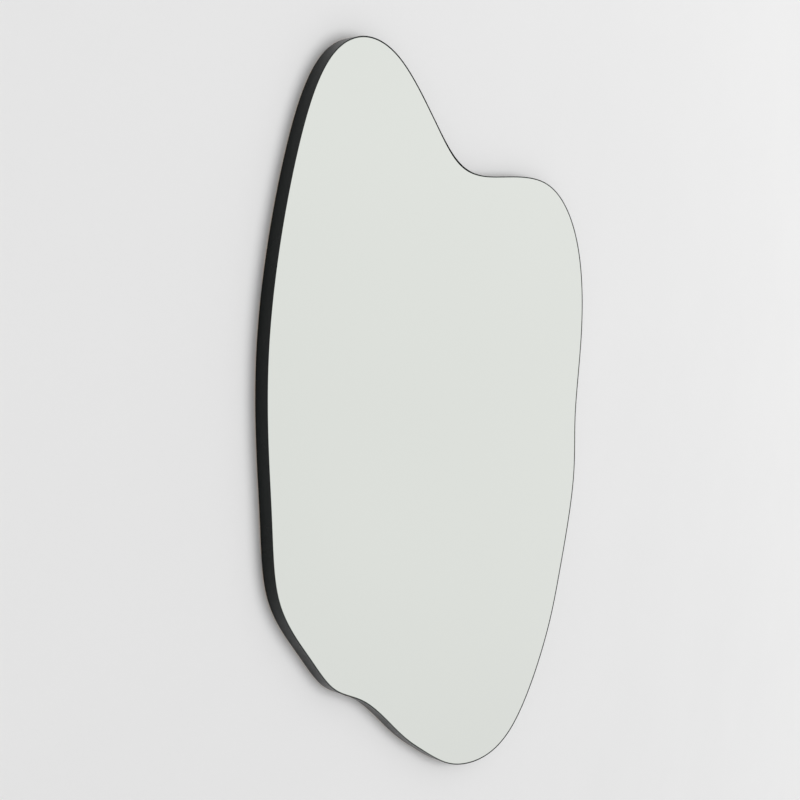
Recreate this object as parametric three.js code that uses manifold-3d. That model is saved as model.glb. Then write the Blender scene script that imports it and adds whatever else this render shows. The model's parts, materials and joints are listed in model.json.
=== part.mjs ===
// Wall mirror with a free-form outline.
//
// A black steel strip is bent on edge into a closed ring. Inside it lies a sheet of silvered glass, backed by
// a safety film and bonded with foam tape to a board. The board is screwed from behind to lugs welded inside
// the ring, and hangs from two D-rings. Rubber pads keep the steel off the wall.
//
// Axes: x to the right as seen from the front, y into the wall, z up. Millimetres. The origin is on the wall,
// behind the middle of the outline.
import * as THREE from 'three';
import * as BufferGeometryUtils from 'three/addons/utils/BufferGeometryUtils.js';
import Module from 'manifold-3d';

const wasm = await Module();
wasm.setup();

// ---- Driving dimensions -------------------------------------------------------------------------------

const WIDTH = 840; // over the outside of the strip
const HEIGHT = 1083;

// The outline at the strip's outer face: x and z of the points that it is bent through, clockwise from the
// middle of the right side.
const SHAPE_POINTS = [
  [401, -3], [399, -136], [348, -299], [289, -417], [165, -530], // down the right side to the foot
  [21, -526], [-62, -482], [-112, -442], [-167, -392], [-241, -318], // up the wavy slope at the lower left
  [-306, -274], [-356, -212], [-406, -128], [-417, -14], [-415, 177], // up the left side
  [-362, 394], [-284, 520], [-168, 530], // over the head
  [-57, 439], [57, 401], [258, 408], [391, 311], [419, 150], // down into the hollow and over the shoulder
];
const OUTLINE_STEPS = 200; // straight facets round the whole outline

const STRIP_THICKNESS = 1;
const STRIP_EDGE_BREAK = 0.2; // chamfer on the strip's two front edges

const GLASS_THICKNESS = 4;
const GLASS_RECESS = 0.7; // the glass lies this far behind the strip's front edge
const GLASS_CLEARANCE = 0.3; // between the edge of the glass and the strip
const GLASS_ARRIS = 0.3; // small chamfer ground on both edges of the glass
const BEND_SLACK = 1.2; // more clearance in the hollow bend, too tight a bend to cut in glass
const BEND_SLACK_REACH = 45; // distance along the outline over which that slack fades

const FILM_THICKNESS = 0.1;
const FILM_MARGIN = 3; // from the edge of the glass

const TAPE_THICKNESS = 1;
const TAPE_WIDTH = 25;
const TAPE_COUNT = 7;
const TAPE_SIDE_MARGIN = 90; // from the outline's left and right ends to the middles of the outer tapes
const TAPE_MARGIN = 30; // from the edge of the board to the ends of the tapes

const BOARD_THICKNESS = 8;
const BOARD_CLEARANCE = 0.8; // between the board and the strip
const PLY_GAP = 0.05; // between flat pieces that lie on each other

const LUG_COUNT = 10;
const LUG_WIDTH = 18; // along the strip
const LUG_REACH = 14; // from the strip inwards
const LUG_THICKNESS = 1.5;
const LUG_CORNER = 3; // cut off the lug's two inner corners
const WELD_GAP = 0.1; // between the lug and the strip

const SCREW_SHANK_DIAMETER = 3.5;
const SCREW_LENGTH = 7.5; // under the head
const SCREW_POINT = 2.2; // length of the pointed end
const SCREW_HEAD_DIAMETER = 7;
const SCREW_HEAD_HEIGHT = 2.1;
const SCREW_SLOT_LENGTH = 3.8; // each bar of the cross recess
const SCREW_SLOT_WIDTH = 0.9;
const SCREW_SLOT_DEPTH = 1.2;
const SCREW_CLEARANCE = 0.3; // round the shank, in metal
const PILOT_CLEARANCE = 0.1; // round the shank, in the board

const HANGER_SPACING = 400; // between the two hangers
const HANGER_DROP = 290; // from the top of the mirror to the axes of the D-rings
const STRAP_THICKNESS = 0.9; // of one leaf; the strap is folded double
const STRAP_WIDTH = 14;
const STRAP_LENGTH = 42; // from the ring's axis to the strap's end
const STRAP_SCREWS = [20, 34]; // from the ring's axis to each screw
const RING_WIRE = 2.5;
const RING_SIDE_PLAY = 1; // between the strap's edge and the ring's leg, on each side
const RING_LEG = 3.5; // straight leg between the ring's bar and its bow
const RING_CORNER = 2.6; // bend between bar and leg, at the middle of the wire
const RING_REST_ANGLE = 7; // degrees off the board, where the hanging ring lies on its strap
const EYE_CLEARANCE = 0.2; // round the ring's bar
const HANGER_CLEARANCE = 0.35; // from the hanger's eye to the strip's back edge

const WALL_GAP = 1; // the pads hold the strip this far off the wall
const PAD_DIAMETER = 12;
const PAD_FACE_DIAMETER = 10;
const PAD_EDGE = 0.8; // rounding of the pad's face
const PAD_INSET = 45; // from the outline to the pad's middle
const PAD_STATIONS = { lower_right: 0.145, lower_left: 0.39, upper_left: 0.62, upper_right: 0.885 };

// ---- Materials ----------------------------------------------------------------------------------------

const finish = (color, roughness, metalness) => (
  new THREE.MeshStandardMaterial({ color, roughness, metalness })
);
const BLACK_POWDER_COAT = finish(0x222626, 0.55, 0);
const SILVERED_GLASS = finish(0xdce0da, 0.03, 1);
const SAFETY_FILM = finish(0xd8dcdc, 0.45, 0);
const FOAM_TAPE = finish(0xe9e8e2, 0.9, 0);
const FIBREBOARD = finish(0xb5936b, 0.8, 0);
const ZINC_PLATE = finish(0xb9bcc0, 0.35, 1);
const BLACK_RUBBER = finish(0x1c1c1c, 0.9, 0);

// ---- The outline --------------------------------------------------------------------------------------

// A closed curve through the given points that bends as an elastic strip does: each span is a cubic, and
// neighbouring spans share their slope and their bending.
class BentStrip extends THREE.Curve {
  constructor(points) {
    super();
    this.points = points;
    this.slopes = points.map(() => new THREE.Vector2());
    this.arcLengthDivisions = 4000;
    const relaxationPasses = 60;
    for (let pass = 0; pass < relaxationPasses; pass++) {
      points.forEach((_, i) => {
        const chord = this.at(this.points, i + 1).clone().sub(this.at(this.points, i - 1));
        const neighbours = this.at(this.slopes, i + 1).clone().add(this.at(this.slopes, i - 1));
        this.slopes[i] = chord.multiplyScalar(3).sub(neighbours).divideScalar(4);
      });
    }
  }

  at(list, i) {
    return list[(i + list.length) % list.length];
  }

  // Start, end and their slopes of the span that holds t, and how far along the span t is.
  span(t) {
    const place = t * this.points.length;
    const i = Math.floor(place) % this.points.length;
    const ends = [this.points[i], this.at(this.points, i + 1)];
    return [...ends, this.slopes[i], this.at(this.slopes, i + 1), place % 1];
  }

  getPoint(t, target = new THREE.Vector2()) {
    const [start, end, leaving, arriving, s] = this.span(t);
    return target.set(0, 0)
      .addScaledVector(start, 2 * s ** 3 - 3 * s ** 2 + 1)
      .addScaledVector(end, 3 * s ** 2 - 2 * s ** 3)
      .addScaledVector(leaving, s ** 3 - 2 * s ** 2 + s)
      .addScaledVector(arriving, s ** 3 - s ** 2);
  }

  getTangent(t, target = new THREE.Vector2()) {
    const [start, end, leaving, arriving, s] = this.span(t);
    return target.set(0, 0)
      .addScaledVector(start, 6 * s ** 2 - 6 * s)
      .addScaledVector(end, 6 * s - 6 * s ** 2)
      .addScaledVector(leaving, 3 * s ** 2 - 4 * s + 1)
      .addScaledVector(arriving, 3 * s ** 2 - 2 * s)
      .normalize();
  }
}

// The drawn points, stretched so that the curve is exactly WIDTH by HEIGHT with its middle at the origin.
function fittedOutline() {
  const drawn = new BentStrip(SHAPE_POINTS.map(([x, z]) => new THREE.Vector2(x, z)));
  const box = new THREE.Box2().setFromPoints(drawn.getPoints(2000));
  const size = box.getSize(new THREE.Vector2());
  const middle = box.getCenter(new THREE.Vector2());
  const stretch = new THREE.Vector2(WIDTH / size.x, HEIGHT / size.y);
  return new BentStrip(drawn.points.map((point) => point.clone().sub(middle).multiply(stretch)));
}

const outline = fittedOutline();
const perimeter = outline.getLength();

// One corner of the facetted outline, moved inwards.
function cornerAt(step, inset) {
  const along = (step % OUTLINE_STEPS) / OUTLINE_STEPS;
  const tangent = outline.getTangentAt(along);
  return outline.getPointAt(along).add(new THREE.Vector2(tangent.y, -tangent.x).multiplyScalar(inset));
}

// The point that lies `inset` inside the outline at a station, a share of the way round from 0 to 1. It is
// on the straight facet there, so what is cut to the strip's line fits the strip's facets.
function insideAt(station, inset) {
  const place = ((station + 1) % 1) * OUTLINE_STEPS;
  const step = Math.floor(place);
  return cornerAt(step, inset).lerp(cornerAt(step + 1, inset), place - step);
}

// The outline moved inwards, as a closed row of points. The inset may change along the way.
function insetRow(inset) {
  return Array.from({ length: OUTLINE_STEPS }, (_, step) => (
    cornerAt(step, typeof inset === 'function' ? inset(step / OUTLINE_STEPS) : inset)
  ));
}

// The station in the middle of the hollow bend, where the outline turns inwards most sharply.
function hollowBend() {
  let sharpest = { turn: -Infinity, station: 0 };
  for (let i = 0; i < OUTLINE_STEPS; i++) {
    const station = i / OUTLINE_STEPS;
    const ahead = outline.getTangentAt((station + 1 / OUTLINE_STEPS) % 1);
    const turn = outline.getTangentAt(station).cross(ahead);
    if (turn > sharpest.turn) sharpest = { turn, station };
  }
  return sharpest.station;
}

// ---- How the layers lie behind each other -------------------------------------------------------------

const eyeInnerRadius = RING_WIRE / 2 + EYE_CLEARANCE;
const eyeOuterRadius = eyeInnerRadius + STRAP_THICKNESS;
const foldedStrap = 2 * STRAP_THICKNESS + PLY_GAP; // two leaves flat on each other
const glassEdgeInset = STRIP_THICKNESS + GLASS_CLEARANCE;
const boardEdgeInset = STRIP_THICKNESS + BOARD_CLEARANCE;

const layers = [GLASS_THICKNESS, FILM_THICKNESS, TAPE_THICKNESS, BOARD_THICKNESS];
const stackDepth = GLASS_RECESS + layers.reduce((sum, layer) => sum + layer) + (layers.length - 1) * PLY_GAP;
const spaceBehindBoard = 2 * eyeOuterRadius + HANGER_CLEARANCE;
const stripDepth = stackDepth + spaceBehindBoard;

const stripBack = -WALL_GAP;
const stripFront = stripBack - stripDepth;
const glassBack = stripFront + GLASS_RECESS + GLASS_THICKNESS;
const filmBack = glassBack + PLY_GAP + FILM_THICKNESS;
const tapeBack = filmBack + PLY_GAP + TAPE_THICKNESS;
const boardBack = tapeBack + PLY_GAP + BOARD_THICKNESS;
const fittingSeat = boardBack + PLY_GAP; // where everything fixed to the board's back starts

// ---- Ways of making solids ----------------------------------------------------------------------------

const object = new THREE.Group();

function add(name, geometry, material, x = 0, y = 0, z = 0) {
  const mesh = new THREE.Mesh(geometry, material);
  mesh.name = name;
  mesh.position.set(x, y, z);
  object.add(mesh);
  return mesh;
}

// A ring-shaped solid: closed loops of points in a closed sequence, each joined to the next.
function ringSolid(loops) {
  const count = loops[0].length;
  const index = [];
  loops.forEach((_, k) => {
    const next = (k + 1) % loops.length;
    for (let i = 0; i < count; i++) {
      const j = (i + 1) % count;
      index.push(k * count + i, next * count + i, next * count + j);
      index.push(k * count + i, next * count + j, k * count + j);
    }
  });
  const geometry = new THREE.BufferGeometry().setFromPoints(loops.flat());
  geometry.setIndex(index);
  return geometry;
}

// A flat sheet cut to a shape drawn in x and z. It runs from y = 0 forwards by its thickness.
function sheet(shape, thickness, arris = 0) {
  const settings = { depth: thickness - 2 * arris, curveSegments: 10, bevelEnabled: false };
  if (arris > 0) {
    Object.assign(settings, { bevelEnabled: true, bevelSegments: 1 });
    Object.assign(settings, { bevelThickness: arris, bevelSize: arris, bevelOffset: -arris });
  }
  return new THREE.ExtrudeGeometry(shape, settings).translate(0, 0, arris).rotateX(Math.PI / 2);
}

function roundHole(x, y, radius) {
  return new THREE.Path().absarc(x, y, radius, 0, 2 * Math.PI, false);
}

function toSolid(geometry) {
  const bare = geometry.clone();
  bare.deleteAttribute('normal');
  bare.deleteAttribute('uv');
  const merged = BufferGeometryUtils.mergeVertices(bare);
  const vertProperties = merged.attributes.position.array;
  const triVerts = new Uint32Array(merged.index.array);
  return new wasm.Manifold(new wasm.Mesh({ numProp: 3, vertProperties, triVerts }));
}

function toGeometry(solid) {
  const { vertProperties, triVerts } = solid.getMesh();
  const geometry = new THREE.BufferGeometry();
  geometry.setAttribute('position', new THREE.BufferAttribute(vertProperties, 3));
  geometry.setIndex(new THREE.BufferAttribute(triVerts, 1));
  return geometry;
}

// ---- Steel strip --------------------------------------------------------------------------------------

// The strip's section, as corners of inset and depth, swept round the outline.
function steelStrip() {
  const inner = STRIP_THICKNESS;
  const corners = [
    [0, stripBack],
    [0, stripFront + STRIP_EDGE_BREAK],
    [STRIP_EDGE_BREAK, stripFront],
    [inner - STRIP_EDGE_BREAK, stripFront],
    [inner, stripFront + STRIP_EDGE_BREAK],
    [inner, stripBack],
  ];
  return ringSolid(corners.map(([inset, y]) => (
    insetRow(inset).map((point) => new THREE.Vector3(point.x, y, point.y))
  )));
}

add('steel_strip', steelStrip(), BLACK_POWDER_COAT);

// ---- Glass, film and board ----------------------------------------------------------------------------

// The glass follows the strip, and leaves a thin crescent open in the hollow bend.
function glassInset() {
  const bend = hollowBend();
  return (station) => {
    const shares = Math.abs(station - bend);
    const distance = Math.min(shares, 1 - shares) * perimeter;
    return glassEdgeInset + BEND_SLACK * Math.exp(-((distance / BEND_SLACK_REACH) ** 2));
  };
}

const edgeOfGlass = glassInset();
const filmInset = (station) => edgeOfGlass(station) + FILM_MARGIN;

const glass = sheet(new THREE.Shape(insetRow(edgeOfGlass)), GLASS_THICKNESS, GLASS_ARRIS);
add('mirror_glass', glass, SILVERED_GLASS, 0, glassBack, 0);

const film = sheet(new THREE.Shape(insetRow(filmInset)), FILM_THICKNESS);
add('safety_film', film, SAFETY_FILM, 0, filmBack, 0);

// The mirror hangs level when its hangers are equally far to either side of its centre of gravity.
function centreOfGravityX() {
  const row = insetRow(0);
  let area = 0;
  let moment = 0;
  row.forEach((point, i) => {
    const next = row[(i + 1) % row.length];
    const slice = point.cross(next) / 2;
    area += slice;
    moment += (slice * (point.x + next.x)) / 3;
  });
  return moment / area;
}

const ringAxisZ = HEIGHT / 2 - HANGER_DROP;
const hangerX = {
  left: centreOfGravityX() - HANGER_SPACING / 2,
  right: centreOfGravityX() + HANGER_SPACING / 2,
};
const lugStations = Array.from({ length: LUG_COUNT }, (_, i) => (i + 0.5) / LUG_COUNT);
const lugScrewInset = STRIP_THICKNESS + WELD_GAP + LUG_REACH / 2;
const lugScrewPlaces = lugStations.map((station) => insideAt(station, lugScrewInset));
const strapScrewPlaces = Object.values(hangerX).flatMap((x) => (
  STRAP_SCREWS.map((drop) => new THREE.Vector2(x, ringAxisZ - drop))
));

function backboard() {
  const shape = new THREE.Shape(insetRow(boardEdgeInset));
  const pilotRadius = SCREW_SHANK_DIAMETER / 2 + PILOT_CLEARANCE;
  for (const place of [...lugScrewPlaces, ...strapScrewPlaces]) {
    shape.holes.push(roundHole(place.x, place.y, pilotRadius));
  }
  return sheet(shape, BOARD_THICKNESS);
}

add('backboard', backboard(), FIBREBOARD, 0, boardBack, 0);

// ---- Foam tapes between film and board ----------------------------------------------------------------

// The lowest and highest z of the room inside a closed row of points, at one x.
function roomAt(row, x) {
  const heights = row.flatMap((point, i) => {
    const next = row[(i + 1) % row.length];
    const share = (x - point.x) / (next.x - point.x);
    return share >= 0 && share < 1 ? [THREE.MathUtils.lerp(point.y, next.y, share)] : [];
  });
  return [Math.min(...heights), Math.max(...heights)];
}

const tapeRoom = insetRow(boardEdgeInset + TAPE_MARGIN);
const tapePitch = (WIDTH - 2 * TAPE_SIDE_MARGIN) / (TAPE_COUNT - 1);
for (let i = 0; i < TAPE_COUNT; i++) {
  const x = (i - (TAPE_COUNT - 1) / 2) * tapePitch;
  const [leftFoot, leftHead] = roomAt(tapeRoom, x - TAPE_WIDTH / 2);
  const [rightFoot, rightHead] = roomAt(tapeRoom, x + TAPE_WIDTH / 2);
  const foot = Math.max(leftFoot, rightFoot);
  const head = Math.min(leftHead, rightHead);
  const tape = new THREE.BoxGeometry(TAPE_WIDTH, TAPE_THICKNESS, head - foot);
  add(`foam_tape_${i + 1}`, tape, FOAM_TAPE, x, tapeBack - TAPE_THICKNESS / 2, (head + foot) / 2);
}

// ---- Lugs and their screws ----------------------------------------------------------------------------

// A lug's outer edge is cut to the strip's curve, and its inner corners are cut off.
function weldedLug(station, screwPlace) {
  const edgePoints = 5;
  const halfShare = LUG_WIDTH / 2 / perimeter;
  const cornerShare = LUG_CORNER / perimeter;
  const outerInset = STRIP_THICKNESS + WELD_GAP;
  const innerInset = outerInset + LUG_REACH;
  const outerEdge = Array.from({ length: edgePoints }, (_, i) => (
    insideAt(station + halfShare * ((2 * i) / (edgePoints - 1) - 1), outerInset)
  ));
  const innerEdge = [
    insideAt(station + halfShare, innerInset - LUG_CORNER),
    insideAt(station + halfShare - cornerShare, innerInset),
    insideAt(station - halfShare + cornerShare, innerInset),
    insideAt(station - halfShare, innerInset - LUG_CORNER),
  ];
  const shape = new THREE.Shape([...outerEdge, ...innerEdge]);
  shape.holes.push(roundHole(screwPlace.x, screwPlace.y, SCREW_SHANK_DIAMETER / 2 + SCREW_CLEARANCE));
  return sheet(shape, LUG_THICKNESS);
}

// A pan-head screw along y, its head towards the wall and the underside of its head at y = 0.
function panHeadScrew() {
  const shank = SCREW_SHANK_DIAMETER / 2;
  const head = SCREW_HEAD_DIAMETER / 2;
  const profile = [
    [0, -SCREW_LENGTH],
    [shank, SCREW_POINT - SCREW_LENGTH],
    [shank, 0],
    [head, 0],
    [head, SCREW_HEAD_HEIGHT * 0.45],
    [head * 0.8, SCREW_HEAD_HEIGHT * 0.88],
    [0, SCREW_HEAD_HEIGHT],
  ].map(([radius, y]) => new THREE.Vector2(radius, y));
  const slotTop = SCREW_HEAD_HEIGHT - SCREW_SLOT_DEPTH / 2 + 1;
  const bar = new THREE.BoxGeometry(SCREW_SLOT_LENGTH, SCREW_SLOT_DEPTH + 2, SCREW_SLOT_WIDTH);
  const cross = toSolid(bar).add(toSolid(bar.clone().rotateY(Math.PI / 2))).translate([0, slotTop, 0]);
  return toGeometry(toSolid(new THREE.LatheGeometry(profile, 12)).subtract(cross));
}

const screw = panHeadScrew();

lugStations.forEach((station, i) => {
  const place = lugScrewPlaces[i];
  const lugBack = fittingSeat + LUG_THICKNESS;
  add(`lug_${i + 1}`, weldedLug(station, place), BLACK_POWDER_COAT, 0, lugBack, 0);
  add(`lug_screw_${i + 1}`, screw, ZINC_PLATE, place.x, lugBack + PLY_GAP, place.y);
});

// ---- Hangers ------------------------------------------------------------------------------------------

// The folded strap, drawn from its side as one strip of even thickness: a leaf on the board, a roll round the
// ring's bar, and a leaf back over the first. The ring's axis is at y = eyeOuterRadius, z = 0, and the strap
// hangs below it.
function hangerStrap() {
  const neck = 1.2; // from the roll to where the leaves lie flat on each other
  const neckStart = eyeOuterRadius + neck;
  const crown = THREE.MathUtils.degToRad(35); // the roll turns into the neck here
  const onRoll = (radius) => [radius * Math.cos(crown), eyeOuterRadius + radius * Math.sin(crown)];
  const outerLeaf = STRAP_THICKNESS + PLY_GAP;
  const side = new THREE.Shape()
    .moveTo(STRAP_LENGTH, 0)
    .lineTo(STRAP_LENGTH, STRAP_THICKNESS)
    .lineTo(0, STRAP_THICKNESS)
    .absarc(0, eyeOuterRadius, eyeInnerRadius, 1.5 * Math.PI, crown, true)
    .quadraticCurveTo(eyeInnerRadius * Math.cos(crown) + neck / 2, outerLeaf, neckStart, outerLeaf)
    .lineTo(STRAP_LENGTH, outerLeaf)
    .lineTo(STRAP_LENGTH, foldedStrap)
    .lineTo(neckStart, foldedStrap)
    .quadraticCurveTo(eyeOuterRadius * Math.cos(crown) + neck / 3, foldedStrap, ...onRoll(eyeOuterRadius))
    .absarc(0, eyeOuterRadius, eyeOuterRadius, crown, 1.5 * Math.PI, false);
  const settings = { depth: STRAP_WIDTH, bevelEnabled: false, curveSegments: 12 };
  const folded = new THREE.ExtrudeGeometry(side, settings)
    .translate(0, 0, -STRAP_WIDTH / 2)
    .rotateY(Math.PI / 2);

  // Seen from behind, the strap's lower end is round.
  const half = STRAP_WIDTH / 2;
  const face = new THREE.Shape()
    .moveTo(half, 2 * eyeOuterRadius)
    .lineTo(-half, 2 * eyeOuterRadius)
    .lineTo(-half, half - STRAP_LENGTH)
    .absarc(0, half - STRAP_LENGTH, half, Math.PI, 2 * Math.PI, false);
  for (const drop of STRAP_SCREWS) {
    face.holes.push(roundHole(0, -drop, SCREW_SHANK_DIAMETER / 2 + SCREW_CLEARANCE));
  }
  const blank = sheet(face, 4 * eyeOuterRadius).translate(0, 3 * eyeOuterRadius, 0);
  return toGeometry(toSolid(folded).intersect(toSolid(blank)));
}

// The D-ring's wire: a bar through the eye, two legs and a half-round bow, as loops round its centre line.
function dRing() {
  const halfBar = STRAP_WIDTH / 2 + RING_SIDE_PLAY + RING_WIRE / 2;
  const path = new THREE.CurvePath();
  const line = (x1, y1, x2, y2) => (
    path.add(new THREE.LineCurve(new THREE.Vector2(x1, y1), new THREE.Vector2(x2, y2)))
  );
  const bend = (x, y, radius, from, to) => (
    path.add(new THREE.EllipseCurve(x, y, radius, radius, from, to, true))
  );
  line(RING_CORNER - halfBar, 0, halfBar - RING_CORNER, 0);
  bend(halfBar - RING_CORNER, -RING_CORNER, RING_CORNER, Math.PI / 2, 0);
  line(halfBar, -RING_CORNER, halfBar, -RING_CORNER - RING_LEG);
  bend(0, -RING_CORNER - RING_LEG, halfBar, 0, -Math.PI);
  line(-halfBar, -RING_CORNER - RING_LEG, -halfBar, -RING_CORNER);
  bend(RING_CORNER - halfBar, -RING_CORNER, RING_CORNER, Math.PI, Math.PI / 2);

  const stations = 48;
  const sides = 8;
  const loops = Array.from({ length: stations }, (_, i) => {
    const middle = path.getPointAt(i / stations);
    const tangent = path.getTangentAt(i / stations);
    return Array.from({ length: sides }, (_unused, j) => {
      const turn = (2 * Math.PI * j) / sides;
      const out = (RING_WIRE / 2) * Math.cos(turn);
      const back = (RING_WIRE / 2) * Math.sin(turn);
      return new THREE.Vector3(middle.x - tangent.y * out, back, middle.y + tangent.x * out);
    });
  });
  return ringSolid(loops);
}

const strap = hangerStrap();
const ring = dRing().rotateX(THREE.MathUtils.degToRad(RING_REST_ANGLE));

for (const [side, x] of Object.entries(hangerX)) {
  add(`hanger_strap_${side}`, strap, ZINC_PLATE, x, fittingSeat, ringAxisZ);
  add(`d_ring_${side}`, ring, ZINC_PLATE, x, fittingSeat + eyeOuterRadius, ringAxisZ);
  STRAP_SCREWS.forEach((drop, i) => {
    const headSeat = fittingSeat + foldedStrap + PLY_GAP;
    add(`hanger_screw_${side}_${i + 1}`, screw, ZINC_PLATE, x, headSeat, ringAxisZ - drop);
  });
}

// ---- Wall pads ----------------------------------------------------------------------------------------

function wallPad() {
  const height = -fittingSeat;
  const foot = PAD_DIAMETER / 2;
  const face = PAD_FACE_DIAMETER / 2;
  const profile = new THREE.Path().moveTo(0, 0).lineTo(foot, 0);
  profile.lineTo(face + PAD_EDGE / 2, height - PAD_EDGE);
  profile.quadraticCurveTo(face, height, face - PAD_EDGE, height);
  profile.lineTo(0, height);
  return new THREE.LatheGeometry(profile.getPoints(3), 20);
}

const pad = wallPad();
for (const [name, station] of Object.entries(PAD_STATIONS)) {
  const place = insideAt(station, PAD_INSET);
  add(`wall_pad_${name}`, pad, BLACK_RUBBER, place.x, fittingSeat, place.y);
}

export default object;
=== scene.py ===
# A wall mirror with a free-form outline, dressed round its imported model. Metres.
# x to the right as seen from the front, y into the wall, z up; the wall's face is y = 0.
import json
import math

import bmesh
import bpy
from mathutils import Matrix, Vector
from mathutils.bvhtree import BVHTree


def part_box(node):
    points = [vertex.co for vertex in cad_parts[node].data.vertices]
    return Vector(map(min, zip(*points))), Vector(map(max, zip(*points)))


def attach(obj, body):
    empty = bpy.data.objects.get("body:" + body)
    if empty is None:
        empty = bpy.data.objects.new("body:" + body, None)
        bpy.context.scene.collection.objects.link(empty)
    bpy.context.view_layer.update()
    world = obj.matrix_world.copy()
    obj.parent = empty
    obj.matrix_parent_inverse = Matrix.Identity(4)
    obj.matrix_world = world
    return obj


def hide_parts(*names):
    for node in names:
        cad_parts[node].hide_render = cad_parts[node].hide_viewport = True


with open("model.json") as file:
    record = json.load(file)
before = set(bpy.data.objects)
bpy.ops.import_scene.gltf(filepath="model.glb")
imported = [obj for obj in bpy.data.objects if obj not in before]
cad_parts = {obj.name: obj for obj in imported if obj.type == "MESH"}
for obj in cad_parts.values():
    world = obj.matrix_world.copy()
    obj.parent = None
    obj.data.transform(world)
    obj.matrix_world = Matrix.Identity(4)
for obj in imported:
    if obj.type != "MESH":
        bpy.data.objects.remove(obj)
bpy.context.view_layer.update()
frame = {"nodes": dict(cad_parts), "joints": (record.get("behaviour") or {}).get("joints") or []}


# ---- Camera ---------------------------------------------------------------------------
# It stands to the left of the mirror, a little above its middle, and looks along the wall.

VIEW_PLACE = (-1.1286, -0.7093, 0.2443)
VIEW_TURN = math.radians(54.402)  # from straight at the wall, to the right
VIEW_DIP = math.radians(7.651)
LENS = 39.85  # millimetres, on a sensor 36 wide
CLIP_START = 0.01

camera_data = bpy.data.cameras.new("camera")
camera_data.lens = LENS
camera_data.clip_start = CLIP_START
camera = bpy.data.objects.new("camera", camera_data)
camera.location = VIEW_PLACE
camera.rotation_euler = (math.pi / 2 - VIEW_DIP, 0, -VIEW_TURN)
bpy.context.scene.collection.objects.link(camera)
bpy.context.scene.camera = camera
bpy.context.scene.view_settings.view_transform = "Standard"


# ---- Studio: wall, floor, world and lamps ---------------------------------------------
# A smooth painted wall that shows from the room's side only, so that the mirror's back can
# be seen from behind it, a pale floor that casts no shadow, an even pale world, a broad soft
# key light level with the mirror, and a lamp behind the wall for the mirror's back.

BACKDROP_SIZE = 12.0
FLOOR_HEIGHT = -2.2  # the mirror's middle hangs this far over the floor
WALL_PAINT = (0.91, 0.91, 0.91)
# Painted light: the wall's paint grows paler to the right and upwards, in place of a lamp's fall-off.
WALL_PAINTED_LIGHT_RIGHT, WALL_PAINTED_LIGHT_UP = 0.037, 0.034  # share that the paint is paler, a metre
WALL_SPREAD = 0.1  # the paint's mix runs from this share darker to this share paler
WALL_CLOUD = 0.15  # share of that mix that the paint's clouds take
FLOOR_PAINT = (0.80, 0.80, 0.80)
ROOM_LIGHT = 0.51  # the even light that the world throws on the object
ROOM_SHOWN = 0.72  # what the camera and the gloss see of the world
ROOM_SHOWN_RIGHT = 0.11  # more on the right and less on the left
ROOM_SHOWN_RISE = 0.06  # more overhead and less below
ROOM_PATCHES = 0.06  # its soft unevenness
# The key light is a sun, so its place gives its direction only.
KEY_PLACE, KEY_POWER, KEY_SPREAD = (0.5, -1.0, -0.08), 1.3, math.radians(44)
BACK_PLACE, BACK_POWER, BACK_SIZE = (0.6, 4.0, 1.6), 95, 2.0


class Wire:
    """An output of a shader node that takes Python's arithmetic, one Math node a sign."""

    def __init__(self, tree, socket):
        self.tree, self.socket = tree, socket

    def __add__(self, other):
        return self.tree.math("ADD", self, other)

    def __radd__(self, other):
        return self.tree.math("ADD", other, self)

    def __sub__(self, other):
        return self.tree.math("SUBTRACT", self, other)

    def __rsub__(self, other):
        return self.tree.math("SUBTRACT", other, self)

    def __mul__(self, other):
        return self.tree.math("MULTIPLY", self, other)

    def __rmul__(self, other):
        return self.tree.math("MULTIPLY", other, self)


class Tree:
    """A node tree that is written as calls: add() puts in any node and wires it up."""

    def __init__(self, node_tree):
        self.nodes, self.links = node_tree.nodes, node_tree.links

    def plug(self, socket, value):
        if isinstance(value, Wire):
            self.links.new(value.socket, socket)
        elif hasattr(value, "__len__") and len(value) == 3 and socket.type == "RGBA":
            socket.default_value = (*value, 1)
        else:
            socket.default_value = value

    def add(self, kind, sockets=None, output=0, **settings):
        node = self.nodes.new(kind)
        for name, value in settings.items():
            setattr(node, name, value)
        for name, value in (sockets or {}).items():
            self.plug(node.inputs[name], value)
        return Wire(self, node.outputs[output])

    def math(self, operation, *values):
        return self.add("ShaderNodeMath", dict(enumerate(values)), operation=operation)

    def mix(self, factor, low, high):
        """Between two colours."""
        ends = {"Factor": factor, "A": low, "B": high}
        node = self.nodes.new("ShaderNodeMix")
        node.data_type = "RGBA"
        for socket in node.inputs:
            if socket.enabled and socket.name in ends:
                self.plug(socket, ends[socket.name])
        return Wire(self, next(s for s in node.outputs if s.enabled))

    def axis(self, vector, name):
        return self.add("ShaderNodeSeparateXYZ", {0: vector}, output="XYZ".index(name))


class Finish(Tree):
    """A material: one Principled shader, and the nodes that feed it."""

    def __init__(self, name, **constants):
        self.material = bpy.data.materials.new(name)
        self.material.use_nodes = True
        super().__init__(self.material.node_tree)
        self.shader = self.nodes["Principled BSDF"]
        self.place = self.add("ShaderNodeTexCoord", output="Object")
        for socket, value in constants.items():
            self.set(socket.replace("_", " ").title().replace("Ior", "IOR"), value)

    def set(self, socket, value):
        self.plug(self.shader.inputs[socket], value)

    def stretched(self, scale):
        return self.add("ShaderNodeMapping", {"Vector": self.place, "Scale": scale})

    def noise(self, scale, detail=2.0, roughness=0.5, place=None):
        sockets = {"Vector": place or self.place, "Scale": scale, "Detail": detail, "Roughness": roughness}
        return self.add("ShaderNodeTexNoise", sockets, output="Fac")

    def bump(self, height, distance, strength=1.0, under=None):
        sockets = {"Height": height, "Distance": distance, "Strength": strength}
        if under:
            sockets["Normal"] = under
        return self.add("ShaderNodeBump", sockets)


def toned(colour, share):
    """A colour made darker, by a share under 1, or paler, by a share over 1."""
    return [channel * share for channel in colour]


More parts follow.
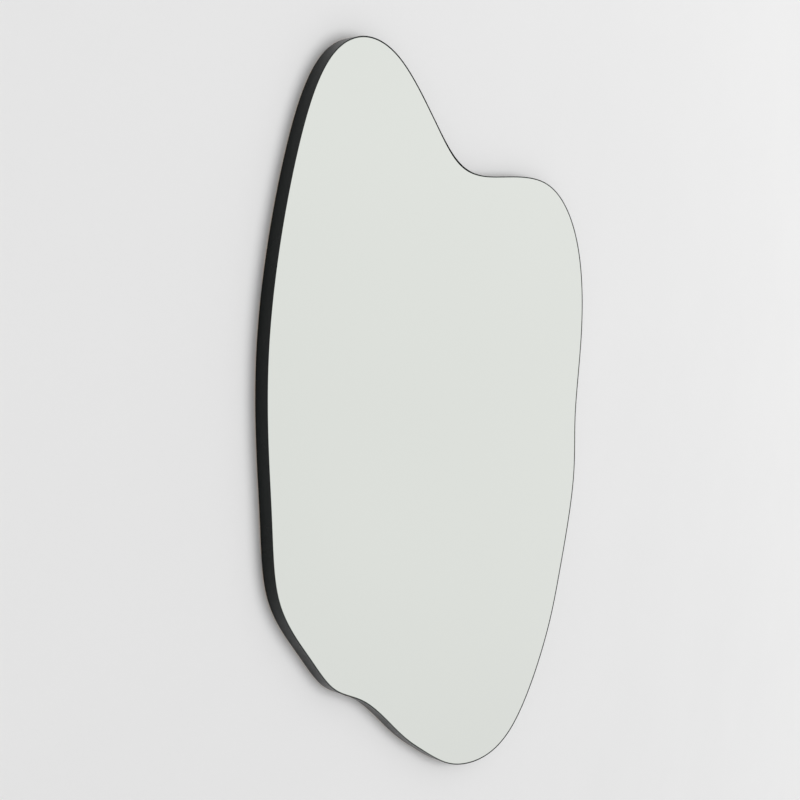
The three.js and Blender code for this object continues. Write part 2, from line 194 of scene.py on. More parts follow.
def finish_mesh(name, mesh_in_work, materials, sharp_over=35):
    """Turns a bmesh into an object at the origin, with smooth faces and sharp corners."""
    for face in mesh_in_work.faces:
        face.smooth = True
    for edge in mesh_in_work.edges:
        edge.smooth = edge.calc_face_angle(0) < math.radians(sharp_over)
    mesh = bpy.data.meshes.new(name)
    mesh_in_work.to_mesh(mesh)
    mesh_in_work.free()
    for material in materials:
        mesh.materials.append(material)
    piece = bpy.data.objects.new(name, mesh)
    bpy.context.scene.collection.objects.link(piece)
    return piece


def wall_paint():
    paint = Finish("wall_paint", roughness=0.85)
    # Painted light: the paint is made paler towards the right and the top, as a lamp there would light it;
    # the clouds are the paint's own.
    painted_light = WALL_PAINTED_LIGHT_RIGHT * paint.axis(paint.place, "X") + WALL_PAINTED_LIGHT_UP * paint.axis(paint.place, "Z")
    shade = 0.5 + 0.5 / WALL_SPREAD * painted_light + WALL_CLOUD * (paint.noise(3.0, detail=3.0) - 0.5)
    darkest, palest = toned(WALL_PAINT, 1 - WALL_SPREAD), toned(WALL_PAINT, 1 + WALL_SPREAD)
    paint.set("Base Color", paint.mix(shade, darkest, palest))
    paint.set("Normal", paint.bump(paint.noise(260.0, detail=4.0), 0.00012))
    # The wall is clear from behind.
    behind = paint.add("ShaderNodeNewGeometry", output="Backfacing")
    clear = paint.add("ShaderNodeBsdfTransparent")
    shown = Wire(paint, paint.shader.outputs[0])
    both = paint.add("ShaderNodeMixShader", {0: behind, 1: shown, 2: clear})
    paint.plug(paint.nodes["Material Output"].inputs["Surface"], both)
    return paint.material


def floor_paint():
    paint = Finish("floor_paint", roughness=0.8)
    mottle = paint.noise(2.0, detail=3.0)
    paint.set("Base Color", paint.mix(mottle, toned(FLOOR_PAINT, 0.985), FLOOR_PAINT))
    return paint.material


def backdrop(name, material, turn, offset):
    sheet = bmesh.new()
    bmesh.ops.create_grid(sheet, x_segments=1, y_segments=1, size=BACKDROP_SIZE / 2)
    bmesh.ops.transform(sheet, matrix=Matrix.Translation(offset) @ turn, verts=sheet.verts)
    return finish_mesh(name, sheet, [material])


wall = backdrop("wall", wall_paint(), Matrix.Rotation(math.pi / 2, 4, "X"), (0, 0, 0))
wall.visible_shadow = False
wall.visible_diffuse = False
floor = backdrop("floor", floor_paint(), Matrix.Identity(4), (0, 0, FLOOR_HEIGHT))
floor.visible_glossy = False
floor.visible_shadow = False


def studio_world():
    world = bpy.data.worlds.new("studio")
    world.use_nodes = True
    bpy.context.scene.world = world
    room = Tree(world.node_tree)
    towards = room.add("ShaderNodeTexCoord", output="Generated")
    patches = room.add("ShaderNodeTexNoise", {"Vector": towards, "Scale": 2.4, "Detail": 1.0})
    shown = ROOM_SHOWN + ROOM_SHOWN_RIGHT * room.axis(towards, "X")
    shown = shown + ROOM_SHOWN_RISE * room.axis(towards, "Z") + ROOM_PATCHES * (patches - 0.5)
    kinds = ("Is Camera Ray", "Is Glossy Ray", "Is Transmission Ray")
    camera_ray, gloss_ray, clear_ray = (room.add("ShaderNodeLightPath", output=kind) for kind in kinds)
    seen = room.math("MAXIMUM", camera_ray, room.math("MAXIMUM", gloss_ray, clear_ray))
    background = room.nodes["Background"]
    room.plug(background.inputs["Color"], (1, 1, 1))
    room.plug(background.inputs["Strength"], ROOM_LIGHT + seen * (shown - ROOM_LIGHT))


studio_world()


def lamp(name, kind, place, power, gloss):
    """Aims a lamp at the middle of the mirror, and returns its data for more settings."""
    data = bpy.data.lights.new(name, kind)
    data.energy = power
    box = bpy.data.objects.new(name, data)
    box.location = place
    box.rotation_euler = (-Vector(place)).to_track_quat("-Z", "Y").to_euler()
    box.visible_camera = False
    box.visible_glossy = gloss
    bpy.context.scene.collection.objects.link(box)
    return data


lamp("key_light", "SUN", KEY_PLACE, KEY_POWER, gloss=False).angle = KEY_SPREAD
lamp("back_lamp", "AREA", BACK_PLACE, BACK_POWER, gloss=True).size = BACK_SIZE


# ---- Steel strip ----------------------------------------------------------------------
# A flat steel strip, bent on its narrow side along the free-form outline and butt welded
# into a ring. Its edges are broken, and it is powder coated in satin black.

COAT_COLOUR = (0.0028, 0.0044, 0.0039)
COAT_ROUGHNESS = 0.26
STRIP_GAUGE = 0.001
STRIP_EDGE_RADIUS = 0.00025
SAME_PLACE = 1e-6  # points closer than this are one
STRAIGHT = math.radians(0.02)  # the outline's corners flatter than this are dropped


def black_powder_coat():
    coat = Finish("black_powder_coat", specular_ior_level=0.22)
    orange_peel = coat.noise(900.0, detail=1.0)
    grain = coat.noise(4200.0, detail=1.0)
    cloud = coat.noise(9.0, detail=3.0)
    coat.set("Base Color", coat.mix(cloud, toned(COAT_COLOUR, 0.8), toned(COAT_COLOUR, 1.2)))
    coat.set("Roughness", COAT_ROUGHNESS - 0.05 + 0.10 * cloud)
    coat.set("Normal", coat.bump(grain, 0.000006, under=coat.bump(orange_peel, 0.00003)))
    return coat.material


COAT = black_powder_coat()


def merged_copy(node):
    """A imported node's own shape, with its loose triangles joined."""
    copy = bmesh.new()
    copy.from_mesh(frame["nodes"][node].data)
    bmesh.ops.remove_doubles(copy, verts=copy.verts, dist=SAME_PLACE)
    return copy


def outline_at(node, depth):
    """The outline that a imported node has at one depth, as a closed ring of edges."""
    cut = merged_copy(node)
    bmesh.ops.bisect_plane(
        cut, geom=cut.verts[:] + cut.edges[:] + cut.faces[:], dist=1e-7,
        plane_co=(0, depth, 0), plane_no=(0, 1, 0), clear_inner=True, clear_outer=True,
    )
    outer, fresh = set(), [max(cut.verts, key=lambda vert: vert.co.x)]
    while fresh:
        vert = fresh.pop()
        if vert not in outer:
            outer.add(vert)
            fresh += [edge.other_vert(vert) for edge in vert.link_edges]
    bmesh.ops.delete(cut, geom=[vert for vert in cut.verts if vert not in outer], context="VERTS")

    def straight(vert):
        before, after = (edge.other_vert(vert).co - vert.co for edge in vert.link_edges)
        return before.angle(-after) < STRAIGHT

    bmesh.ops.dissolve_verts(cut, verts=[vert for vert in cut.verts if straight(vert)])
    return cut


def outline_band(node, front, back):
    """A band along a node's outline, its straight facets rounded back into one curve."""
    middle = (front + back) / 2
    band = outline_at(node, middle)
    bmesh.ops.translate(band, verts=band.verts, vec=(0, front - middle, 0))
    grown = bmesh.ops.extrude_edge_only(band, edges=band.edges[:])["geom"]
    back_row = [part for part in grown if isinstance(part, bmesh.types.BMVert)]
    bmesh.ops.translate(band, verts=back_row, vec=(0, back - front, 0))
    bmesh.ops.recalc_face_normals(band, faces=band.faces)
    rows = [edge for edge in band.edges if edge.is_boundary]
    bmesh.ops.subdivide_edges(band, edges=rows, cuts=3, smooth=1.0, smooth_falloff="LINEAR")
    return band


def corners(mesh_in_work, over=60):
    """The edges where two faces meet at a steep angle, in degrees."""
    return [edge for edge in mesh_in_work.edges if edge.calc_face_angle(0) > math.radians(over)]


def break_edges(mesh_in_work, edges, width, segments=3):
    bmesh.ops.bevel(
        mesh_in_work, geom=edges, offset=width, offset_type="OFFSET", segments=segments,
        profile=0.5, affect="EDGES", material=-1,
    )


def keep_flats_flat(piece):
    """Shades the broken edges round and leaves the large faces flat."""
    piece.modifiers.new("weighted_normal", "WEIGHTED_NORMAL").keep_sharp = True


strip_low, strip_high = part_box("steel_strip")
strip_ring = outline_band("steel_strip", strip_low.y, strip_high.y)
bmesh.ops.solidify(strip_ring, geom=strip_ring.faces[:], thickness=STRIP_GAUGE)
break_edges(strip_ring, corners(strip_ring), STRIP_EDGE_RADIUS)
strip_surface = BVHTree.FromBMesh(strip_ring)
strip = finish_mesh("bent_strip", strip_ring, [COAT])
keep_flats_flat(strip)
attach(strip, "mirror_body")
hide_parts("steel_strip")


# ---- Lugs and their welds --------------------------------------------------------------
# Ten small plates, cut from steel sheet, that stand inwards from the strip behind the board.
# A short run of weld along the back of each joins it to the strip, and all is coated together.

LUGS = range(1, 11)
LUG_EDGE_RADIUS = 0.0002
ON_THE_BACK = 1e-5  # points this close to the lug's back face lie on it
WELD_RADIUS = 0.0009
WELD_SETBACK = 0.0004  # the bead's middle, off the strip and behind the lug
WELD_TIP = 0.3  # share of the bead's radius that is left at both ends
WELD_ENDS = 6  # the bead thickens over a sixth of its length, and thins out as long
WELD_RIPPLES = 12
RINGS_A_RIPPLE = 3
RIPPLE_HEIGHT = 0.22  # share of the bead's radius
FLAT_WITHIN = math.radians(0.3)  # triangles that lean less than this make one face


def whole_faces(mesh_in_work):
    """Joins the triangles of each flat face."""
    bmesh.ops.dissolve_limit(
        mesh_in_work, angle_limit=FLAT_WITHIN, verts=mesh_in_work.verts, edges=mesh_in_work.edges,
    )


def round_ring(mesh_in_work, radius, matrix, capped=False, segments=12):
    ring = bmesh.ops.create_circle(
        mesh_in_work, cap_ends=capped, segments=segments, radius=radius, matrix=matrix,
    )
    return list({edge for vert in ring["verts"] for edge in vert.link_edges})


def weld_bead(points):
    """A bead of overlapping ripples, thin at both ends, along a row of evenly spaced points."""
    bead = bmesh.new()
    rings = WELD_RIPPLES * RINGS_A_RIPPLE
    last_ring = None
    for step in range(rings + 1):
        share = step / rings
        span = min(int(share * (len(points) - 1)), len(points) - 2)
        place = points[span].lerp(points[span + 1], share * (len(points) - 1) - span)
        facing = (points[span + 1] - points[span]).to_track_quat("Z", "Y").to_matrix().to_4x4()
        ripple = 1 - RIPPLE_HEIGHT * (step % RINGS_A_RIPPLE) / (RINGS_A_RIPPLE - 1)
        thickened = min(1, WELD_ENDS * share, WELD_ENDS * (1 - share)) ** 0.5
        taper = WELD_TIP + (1 - WELD_TIP) * thickened
        at_end = step in (0, rings)
        ring = round_ring(bead, WELD_RADIUS * ripple * taper, Matrix.Translation(place) @ facing, at_end)
        if last_ring:
            bmesh.ops.bridge_loops(bead, edges=last_ring + ring)
        last_ring = ring
    bmesh.ops.recalc_face_normals(bead, faces=bead.faces)
    return bead


def weld_path(plate, node, screw_node):
    """Along the lug's back corner at the strip, set off into the corner between them."""
    middle = sum(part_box(screw_node), Vector((0, 0, 0))) / 2
    inwards = middle - strip_surface.find_nearest(middle)[0]
    inwards.y = 0
    inwards.normalize()
    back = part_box(node)[1].y
    corner = [
        vert.co.copy() for vert in plate.verts
        if abs(vert.co.y - back) < ON_THE_BACK and strip_surface.find_nearest(vert.co)[3] < WELD_RADIUS
    ]
    corner.sort(key=inwards.cross((0, 1, 0)).dot)
    return [point + WELD_SETBACK * (inwards + Vector((0, 1, 0))) for point in corner]


for number in LUGS:
    plate = merged_copy(f"lug_{number}")
    path = weld_path(plate, f"lug_{number}", f"lug_screw_{number}")
    whole_faces(plate)
    break_edges(plate, corners(plate, over=30), LUG_EDGE_RADIUS, segments=2)
    lug = finish_mesh(f"steel_lug_{number}", plate, [COAT])
    keep_flats_flat(lug)
    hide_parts(f"lug_{number}")
    bead = finish_mesh(f"lug_weld_{number}", weld_bead(path), [COAT], sharp_over=60)
    for piece in (lug, bead):
        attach(piece, "mirror_body")


# ---- Mirror glass ---------------------------------------------------------------------
# Clear float glass, cut to the outline, its edge ground and both arrises taken off. The
# back is silvered and sealed with a grey lacquer.

GLASS_TINT = (0.908, 0.936, 0.890)
EDGE_GREEN = (0.20, 0.30, 0.25)
LACQUER_GREY = (0.19, 0.21, 0.21)
ARRIS = 0.0003
BROADSIDE = 0.999  # how much of its unit normal a broad face has along y


def silvered_face():
    face = Finish("silvered_face", metallic=1.0)
    cloud = face.noise(2.2, detail=2.0)
    face.set("Base Color", face.mix(cloud, toned(GLASS_TINT, 0.985), GLASS_TINT))
    face.set("Roughness", 0.012 + 0.02 * face.noise(30.0, detail=4.0))
    face.set("Normal", face.bump(face.noise(4.0, detail=0.0), 0.0004))
    return face.material


def ground_edge():
    edge = Finish("ground_edge", roughness=0.5)
    streak = edge.noise(1400.0, detail=3.0, place=edge.stretched((0.15, 1.0, 0.15)))
    edge.set("Base Color", edge.mix(streak, toned(EDGE_GREEN, 0.7), EDGE_GREEN))
    edge.set("Normal", edge.bump(streak, 0.00004))
    return edge.material


def back_lacquer():
    lacquer = Finish("back_lacquer", roughness=0.55)
    mottle = lacquer.noise(120.0, detail=4.0)
    lacquer.set("Base Color", lacquer.mix(mottle, toned(LACQUER_GREY, 0.85), LACQUER_GREY))
    lacquer.set("Normal", lacquer.bump(lacquer.noise(700.0), 0.00003))
    return lacquer.material


glass_low, glass_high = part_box("mirror_glass")
pane = outline_band("mirror_glass", glass_low.y, glass_high.y)
bmesh.ops.holes_fill(pane, edges=[edge for edge in pane.edges if edge.is_boundary])
break_edges(pane, corners(pane), ARRIS, segments=1)
for face in pane.faces:
    facing = face.normal.y
    face.material_index = 0 if facing < -BROADSIDE else 2 if facing > BROADSIDE else 1
glass = finish_mesh("glass_pane", pane, [silvered_face(), ground_edge(), back_lacquer()])
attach(glass, "mirror_body")
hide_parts("mirror_glass")


# ---- Safety film -----------------------------------------------------------------------
# A thin vinyl sheet with a fine woven emboss, stuck to the lacquer, that holds the glass
# together if it breaks. It ends a little inside the edge of the glass.

FILM_WHITE = (0.66, 0.68, 0.68)


def safety_vinyl():
    vinyl = Finish("safety_vinyl", roughness=0.38)
    across = vinyl.add("ShaderNodeTexWave", {"Vector": vinyl.place, "Scale": 260.0}, bands_direction="X")
    along = vinyl.add("ShaderNodeTexWave", {"Vector": vinyl.place, "Scale": 260.0}, bands_direction="Z")
    cloud = vinyl.noise(14.0, detail=3.0)
    vinyl.set("Base Color", vinyl.mix(cloud, toned(FILM_WHITE, 0.93), FILM_WHITE))
    vinyl.set("Normal", vinyl.bump(across * along, 0.00003))
    return vinyl.material


def dress(node, material):
    """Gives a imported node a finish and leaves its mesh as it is."""
    for holder in frame["nodes"][node].material_slots:
        holder.link = "OBJECT"
        holder.material = material


dress("safety_film", safety_vinyl())


# ---- Foam tapes ------------------------------------------------------------------------
# Seven upright strips of white double-sided foam tape between the film and the board. They
# are cut from a roll and pressed flat, so that their long sides swell and wander.

TAPES = range(1, 8)
FOAM_WHITE = (0.80, 0.79, 0.75)
TAPE_STEP = 0.008  # between two rows of corners along a tape
TAPE_LONG_SIDE = 0.05  # every tape's long sides are longer than this
TAPE_SWELL = 0.00035
TAPE_WANDER = 0.4  # share of the swell that its sides wander
TAPE_WAVES = 90.0  # radians a metre, along a tape
SIDE_PHASE, PLACE_PHASE = 7, 40  # radians, and radians a metre, that put the waves out of step


def white_foam():
    foam = Finish("white_foam", roughness=0.9)
    cells = foam.add("ShaderNodeTexVoronoi", {"Vector": foam.place, "Scale": 1500.0})
    foam.set("Base Color", foam.mix(cells, FOAM_WHITE, toned(FOAM_WHITE, 0.78)))
    foam.set("Normal", foam.bump(cells, 0.0001))
    return foam.material


def edges_along(mesh_in_work, axis, over):
    """The edges that run further than `over` along one axis."""
    return [
        edge for edge in mesh_in_work.edges
        if abs(edge.verts[0].co[axis] - edge.verts[1].co[axis]) > over
    ]


def pressed_tape(node):
    tape = merged_copy(node)
    whole_faces(tape)
    low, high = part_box(node)
    rows = int((high.z - low.z) / TAPE_STEP)
    uprights = edges_along(tape, 2, TAPE_LONG_SIDE)
    bmesh.ops.subdivide_edges(tape, edges=uprights, cuts=rows, use_grid_fill=True)
    thickness = high.y - low.y
    through = edges_along(tape, 1, thickness / 2)
    bmesh.ops.subdivide_edges(tape, edges=through, cuts=2, use_grid_fill=True)
    middle = (low + high) / 2
    for vert in tape.verts:
        inside = abs(vert.co.y - middle.y) < thickness / 4
        side = math.copysign(1, vert.co.x - middle.x)
        wander = math.sin(TAPE_WAVES * vert.co.z + SIDE_PHASE * side + PLACE_PHASE * middle.x)
        vert.co.x += side * TAPE_SWELL * ((1.0 if inside else 0.0) + TAPE_WANDER * wander)
    return tape


foam = white_foam()
for number in TAPES:
    tape = finish_mesh(f"foam_strip_{number}", pressed_tape(f"foam_tape_{number}"), [foam])
    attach(tape, "mirror_body")
    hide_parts(f"foam_tape_{number}")


# ---- Backboard -------------------------------------------------------------------------
# Fibreboard routed to the outline. Its faces are sanded and its routed edge shows the
# coarser core. It carries the glass, and the lugs and the hangers are screwed to it.

BOARD_TAN = (0.46, 0.30, 0.17)
BOARD_EDGE_RADIUS = 0.0003
SCREW_NODES = [
    name for name in frame["nodes"] if name.startswith(("lug_screw_", "hanger_screw_"))
]
PILOT_HOLE_RADIUS = 0.00185


def sanded_fibreboard():
    board = Finish("sanded_fibreboard", roughness=0.72)
    fibre = board.noise(620.0, detail=8.0, roughness=0.75)
    lying = board.noise(2600.0, detail=3.0, place=board.stretched((1.0, 1.0, 0.3)))
    crossed = board.noise(2600.0, detail=3.0, place=board.stretched((0.3, 1.0, 1.0)))
    cloud = board.noise(16.0, detail=6.0, roughness=0.6)
    tone = board.mix(cloud, toned(BOARD_TAN, 0.92), toned(BOARD_TAN, 1.08))
    tone = board.mix(3.0 * fibre - 0.9, toned(BOARD_TAN, 0.80), tone)
    dark_fibre = 7.0 * board.math("MAXIMUM", lying, crossed) - 4.3
    board.set("Base Color", board.mix(dark_fibre, tone, toned(BOARD_TAN, 0.62)))
    board.set("Roughness", 0.6 + 0.25 * fibre)
    board.set("Normal", board.bump(fibre, 0.00008, under=board.bump(lying + crossed, 0.00002)))
    return board.material


def routed_edge():
    core = Finish("routed_edge", roughness=0.9)
    layers = core.noise(260.0, detail=5.0, roughness=0.7, place=core.stretched((0.3, 6.0, 0.3)))
    core.set("Base Color", core.mix(layers, toned(BOARD_TAN, 0.5), toned(BOARD_TAN, 0.8)))
    core.set("Normal", core.bump(layers, 0.0001))
    return core.material


board_low, board_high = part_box("backboard")
blank = outline_band("backboard", board_low.y, board_high.y)
bmesh.ops.holes_fill(blank, edges=[edge for edge in blank.edges if edge.is_boundary])
bmesh.ops.recalc_face_normals(blank, faces=blank.faces)
break_edges(blank, corners(blank), BOARD_EDGE_RADIUS, segments=2)
broad_faces = sorted(blank.faces, key=lambda face: face.calc_area())[-2:]
bmesh.ops.delete(blank, geom=broad_faces, context="FACES_ONLY")
rims = [edge for edge in blank.edges if edge.is_boundary]
for name in SCREW_NODES:
    low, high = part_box(name)
    hole = []
    for depth in (board_low.y, board_high.y):
        middle = Vector(((low.x + high.x) / 2, depth, (low.z + high.z) / 2))
        turned = Matrix.Translation(middle) @ Matrix.Rotation(math.pi / 2, 4, "X")
        hole += round_ring(blank, PILOT_HOLE_RADIUS, turned, segments=24)
    bmesh.ops.bridge_loops(blank, edges=hole)
    rims += hole
for depth in (board_low.y, board_high.y):
    rim = [edge for edge in rims if abs(edge.verts[0].co.y - depth) < SAME_PLACE]
    bmesh.ops.triangle_fill(blank, edges=rim, use_beauty=True)
bmesh.ops.recalc_face_normals(blank, faces=blank.faces)
for face in blank.faces:
    face.material_index = 0 if abs(face.normal.y) > BROADSIDE else 1
board = finish_mesh("fibreboard_back", blank, [sanded_fibreboard(), routed_edge()])
keep_flats_flat(board)
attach(board, "mirror_body")
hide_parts("backboard")


# ---- Board screws ----------------------------------------------------------------------
# Pan-head screws with a cross recess, zinc plated, one through each lug into the board. Each
# stopped at its own angle when it was driven home.

MILLIMETRES = 1000  # in a metre
SCREW_LENGTH = 0.0075  # under the head
SCREW_PROFILE = (  # radii and heights in millimetres, from the flat on top down to the tip
    (2.35, 2.02), (2.85, 1.86), (3.22, 1.52), (3.43, 1.05), (3.50, 0.55), (3.50, 0.14),
    (3.40, 0.02), (1.95, 0.02), (1.75, -0.15), (1.28, -0.60), (1.28, -5.20), (0.70, -6.40),
    (0.06, -7.50),
)
RECESS_REACH, RECESS_WIDTH = 0.0019, 0.0005  # from the middle, of each of its four arms
RECESS_DEPTH = 0.001
RECESS_TAPER = 0.55
THREAD_CREST = 0.00175
THREAD_ROOT = 0.0012
THREAD_PITCH = 0.0012
THREAD_HALF_WIDTH = THREAD_PITCH * 0.3
THREAD_START = -0.001  # height of its uppermost crest
THREAD_TURNS = 4
TURN_STEPS = 16
SCREW_TURN = 2.4  # radians between one screw's cross and the next one's
ROUND_STEPS = 36
ZINC = (0.60, 0.61, 0.63)


def zinc_plate():
    zinc = Finish("zinc_plate", metallic=1.0)
    cloud = zinc.noise(170.0, detail=4.0, roughness=0.6)
    tint = zinc.noise(60.0, detail=2.0)
    tone = zinc.mix(tint, [c * k for c, k in zip(ZINC, (0.92, 0.95, 1.05))], ZINC)
    zinc.set("Base Color", zinc.mix(cloud, toned(ZINC, 0.8), tone))
    zinc.set("Roughness", 0.27 + 0.2 * cloud)
    zinc.set("Normal", zinc.bump(zinc.noise(2600.0, detail=2.0), 0.000008))
    return zinc.material


ZINC_PLATE = zinc_plate()


def next_ring(mesh_in_work, ring, radius, height):
    """Grows a ring of edges round the z axis into the next one."""
    grown = bmesh.ops.extrude_edge_only(mesh_in_work, edges=ring)["geom"]
    for vert in [part for part in grown if isinstance(part, bmesh.types.BMVert)]:
        share = radius / vert.co.xy.length
        vert.co = (vert.co.x * share, vert.co.y * share, height)
    return [part for part in grown if isinstance(part, bmesh.types.BMEdge) and part.is_boundary]


def cross_recess(screw, height):
    """A tapered cross sunk in the head, and the edges round its mouth."""
    corner = (RECESS_WIDTH, RECESS_WIDTH, height)
    arm = ((RECESS_REACH, RECESS_WIDTH, height), (RECESS_REACH, -RECESS_WIDTH, height))
    mouth = []
    for quarter in range(4):
        turn = Matrix.Rotation(-quarter * math.pi / 2, 3, "Z")
        mouth += [screw.verts.new(turn @ Vector(point)) for point in (corner, *arm)]
    floor_face = screw.faces.new(mouth)
    bmesh.ops.subdivide_edges(screw, edges=floor_face.edges[:], cuts=2)
    rim = screw.edges[:]
    sunk = bmesh.ops.extrude_face_region(screw, geom=screw.faces[:])["geom"]
    floor_verts = [part for part in sunk if isinstance(part, bmesh.types.BMVert)]
    bmesh.ops.translate(screw, verts=floor_verts, vec=(0, 0, -RECESS_DEPTH))
    bmesh.ops.scale(screw, verts=floor_verts, vec=(RECESS_TAPER, RECESS_TAPER, 1))
    lid = [face for face in screw.faces if face.calc_center_median().z > height - SAME_PLACE]
    bmesh.ops.delete(screw, geom=lid, context="FACES_ONLY")
    return [edge for edge in rim if edge.is_valid and edge.is_boundary]


def pan_head_screw():
    """Upright, with the underside of its head at z = 0."""
    screw = bmesh.new()
    rings = [(radius / MILLIMETRES, height / MILLIMETRES) for radius, height in SCREW_PROFILE]
    recess = cross_recess(screw, rings[0][1])
    ring = round_ring(screw, rings[0][0], Matrix.Translation((0, 0, rings[0][1])), segments=ROUND_STEPS)
    bmesh.ops.bridge_loops(screw, edges=recess + ring)
    for radius, height in rings[1:]:
        ring = next_ring(screw, ring, radius, height)
    bmesh.ops.edgeloop_fill(screw, edges=ring)

    ridge = [
        screw.verts.new((THREAD_ROOT, 0, THREAD_START + THREAD_HALF_WIDTH)),
        screw.verts.new((THREAD_CREST, 0, THREAD_START)),
        screw.verts.new((THREAD_ROOT, 0, THREAD_START - THREAD_HALF_WIDTH)),
    ]
    section = [screw.edges.new((ridge[i], ridge[(i + 1) % 3])) for i in range(3)]
    steps = TURN_STEPS * THREAD_TURNS
    wound = bmesh.ops.spin(
        screw, geom=ridge + section, cent=(0, 0, 0), axis=(0, 0, 1), angle=2 * math.pi * THREAD_TURNS,
        steps=steps, dvec=(0, 0, -THREAD_PITCH / TURN_STEPS), use_merge=False,
    )
    for end in (section, [part for part in wound["geom_last"] if isinstance(part, bmesh.types.BMEdge)]):
        bmesh.ops.edgeloop_fill(screw, edges=end)
    bmesh.ops.recalc_face_normals(screw, faces=screw.faces)
    return screw


def drive_screw(name, node, turn):
    """A screw in a packed screw's place, its head towards the wall."""
    low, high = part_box(node)
    seat = Vector(((low.x + high.x) / 2, low.y + SCREW_LENGTH, (low.z + high.z) / 2))
    screw = pan_head_screw()
    upright = Matrix.Rotation(-math.pi / 2, 4, "X") @ Matrix.Rotation(turn, 4, "Z")
    bmesh.ops.transform(screw, matrix=Matrix.Translation(seat) @ upright, verts=screw.verts)
    piece = finish_mesh(name, screw, [ZINC_PLATE])
    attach(piece, "mirror_body")
    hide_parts(node)


for number in LUGS:
    drive_screw(f"board_screw_{number}", f"lug_screw_{number}", SCREW_TURN * number)


# ---- Hangers ---------------------------------------------------------------------------
# A zinc-plated strap, folded double round the bar of a D-ring and held to the board by two
# more screws. The ring is bent from round wire, its ends butted together inside the strap.

STRAP_EDGE_RADIUS = 0.00012
BUTT_GAP = 0.0004
RING_CORNER = 0.0026  # bend radii and legs at the middle of the wire
RING_LEG = 0.0035
RING_WIRE = 0.0025
RING_REST_ANGLE = math.radians(7)  # how far the hanging ring's bow lies off the board
WIRE_SEGMENTS = 20
CORNER_STEPS, BOW_STEPS = 10, 40
STRAP_SCREW_TURNS = 5  # added to each strap screw's number, for its cross's own angle


def lead_on(wire, ring, offset):
    """Runs the wire's end straight on."""
    grown = bmesh.ops.extrude_edge_only(wire, edges=ring)["geom"]
    ends = [part for part in grown if isinstance(part, bmesh.types.BMVert)]
    bmesh.ops.translate(wire, vec=offset, verts=ends)
    return [part for part in grown if isinstance(part, bmesh.types.BMEdge) and part.is_boundary]


def bend_on(wire, ring, centre, angle, steps):
    """Bends the wire's end on round a centre, to the right and down as seen from the front."""
    ends = list({vert for edge in ring for vert in edge.verts})
    bent = bmesh.ops.spin(wire, geom=ends + ring, cent=centre, axis=(0, 1, 0), angle=angle, steps=steps)
    return [part for part in bent["geom_last"] if isinstance(part, bmesh.types.BMEdge)]


def bent_d_ring(half_width):
    """Its bar lies on the x axis, and its bow hangs below. half_width is to the leg's middle."""
    wire = bmesh.new()
    inner = half_width - RING_CORNER
    foot = -RING_CORNER - RING_LEG
    start = Matrix.Translation((BUTT_GAP / 2, 0, 0)) @ Matrix.Rotation(math.pi / 2, 4, "Y")
    ring = round_ring(wire, RING_WIRE / 2, start, capped=True, segments=WIRE_SEGMENTS)
    ring = lead_on(wire, ring, (inner - BUTT_GAP / 2, 0, 0))
    ring = bend_on(wire, ring, (inner, 0, -RING_CORNER), math.pi / 2, CORNER_STEPS)
    ring = lead_on(wire, ring, (0, 0, -RING_LEG))
    ring = bend_on(wire, ring, (0, 0, foot), math.pi, BOW_STEPS)
    ring = lead_on(wire, ring, (0, 0, RING_LEG))
    ring = bend_on(wire, ring, (-inner, 0, -RING_CORNER), math.pi / 2, CORNER_STEPS)
    ring = lead_on(wire, ring, (inner - BUTT_GAP / 2, 0, 0))
    bmesh.ops.edgeloop_fill(wire, edges=ring)
    bmesh.ops.recalc_face_normals(wire, faces=wire.faces)
    return wire


for hand in ("left", "right"):
    folded = merged_copy(f"hanger_strap_{hand}")
    whole_faces(folded)
    break_edges(folded, corners(folded), STRAP_EDGE_RADIUS, segments=2)
    strap = finish_mesh(f"folded_strap_{hand}", folded, [ZINC_PLATE])
    keep_flats_flat(strap)
    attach(strap, "mirror_body")
    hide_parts(f"hanger_strap_{hand}")

    swing = next(joint for joint in frame["joints"] if joint["child"] == f"{hand}_ring")
    ring_low, ring_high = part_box(f"d_ring_{hand}")
    wire = bent_d_ring((ring_high.x - ring_low.x - RING_WIRE) / 2)
    hung = Matrix.Translation(swing["pos_m"]) @ Matrix.Rotation(RING_REST_ANGLE, 4, "X")
    bmesh.ops.transform(wire, matrix=hung, verts=wire.verts)
    ring = finish_mesh(f"wire_ring_{hand}", wire, [ZINC_PLATE])
    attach(ring, f"{hand}_ring")
    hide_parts(f"d_ring_{hand}")

    for number in (1, 2):
        turn = SCREW_TURN * (number + STRAP_SCREW_TURNS)
        drive_screw(f"strap_screw_{hand}_{number}", f"hanger_screw_{hand}_{number}", turn)


# ---- Wall pads -------------------------------------------------------------------------
# Four moulded rubber buffers on the back of the board, each on a disc of white foam tape.
# They stand a millimetre proud of the strip and keep its steel off the wall.

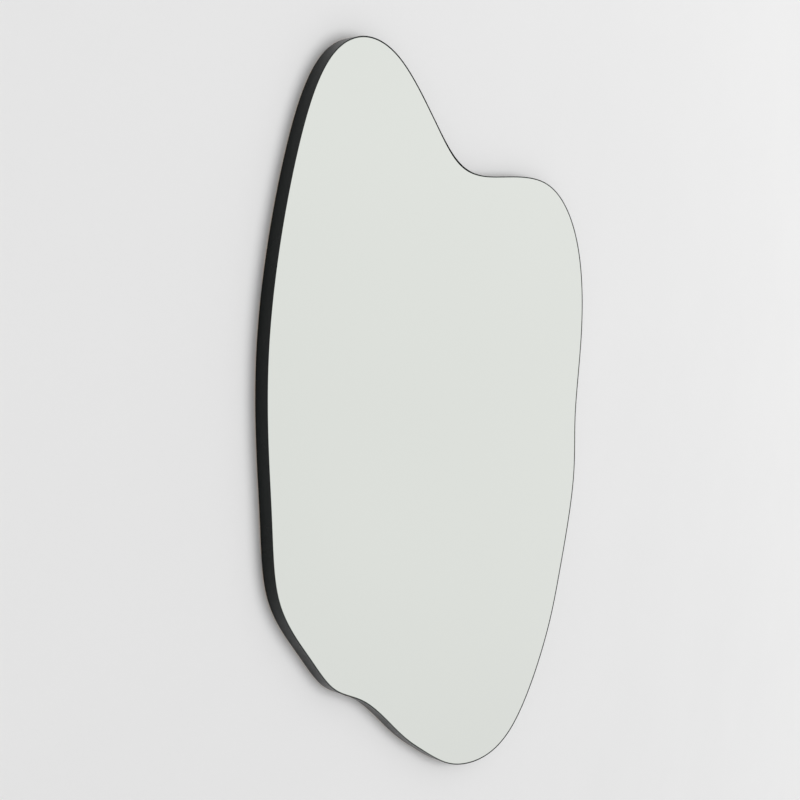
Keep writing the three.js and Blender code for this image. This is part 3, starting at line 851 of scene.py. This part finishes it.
# Radii and heights in millimetres, from the board.
DISC_HEIGHT = 0.35
DISC_PROFILE = ((5.6, 0.0), (5.6, DISC_HEIGHT))
RUBBER_PROFILE = (
    (5.95, DISC_HEIGHT), (6.0, 0.6), (5.55, 4.6), (5.42, 5.2), (5.2, 5.6), (4.9, 5.85), (4.5, 5.97),
    (4.2, 6.0), (3.2, 6.0), (3.0, 5.9), (2.8, 5.85), (0.1, 5.85),
)
RUBBER_BLACK = (0.012, 0.012, 0.013)


def black_rubber():
    rubber = Finish("black_rubber", specular_ior_level=0.35)
    bloom = rubber.noise(300.0, detail=4.0)
    rubber.set("Base Color", rubber.mix(bloom, RUBBER_BLACK, toned(RUBBER_BLACK, 2.2)))
    rubber.set("Roughness", 0.6 + 0.25 * bloom)
    rubber.set("Normal", rubber.bump(rubber.noise(2200.0, detail=2.0), 0.00002))
    return rubber.material


rubber_finishes = [black_rubber(), foam]
for corner in ("lower_right", "lower_left", "upper_left", "upper_right"):
    low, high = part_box(f"wall_pad_{corner}")
    pad = bmesh.new()
    (foot_radius, foot_height), *higher_rings = *DISC_PROFILE, *RUBBER_PROFILE
    foot = Matrix.Translation((0, 0, foot_height / MILLIMETRES))
    ring = round_ring(pad, foot_radius / MILLIMETRES, foot, capped=True, segments=ROUND_STEPS)
    for radius, height in higher_rings:
        ring = next_ring(pad, ring, radius / MILLIMETRES, height / MILLIMETRES)
    bmesh.ops.edgeloop_fill(pad, edges=ring)
    bmesh.ops.recalc_face_normals(pad, faces=pad.faces)
    for face in pad.faces:
        of_disc = face.calc_center_median().z < DISC_HEIGHT / MILLIMETRES - SAME_PLACE
        face.material_index = 1 if of_disc else 0
    seat = Matrix.Translation(((low.x + high.x) / 2, low.y, (low.z + high.z) / 2))
    bmesh.ops.transform(pad, matrix=seat @ Matrix.Rotation(-math.pi / 2, 4, "X"), verts=pad.verts)
    buffer = finish_mesh(f"rubber_pad_{corner}", pad, rubber_finishes)
    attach(buffer, "mirror_body")
    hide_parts(f"wall_pad_{corner}")
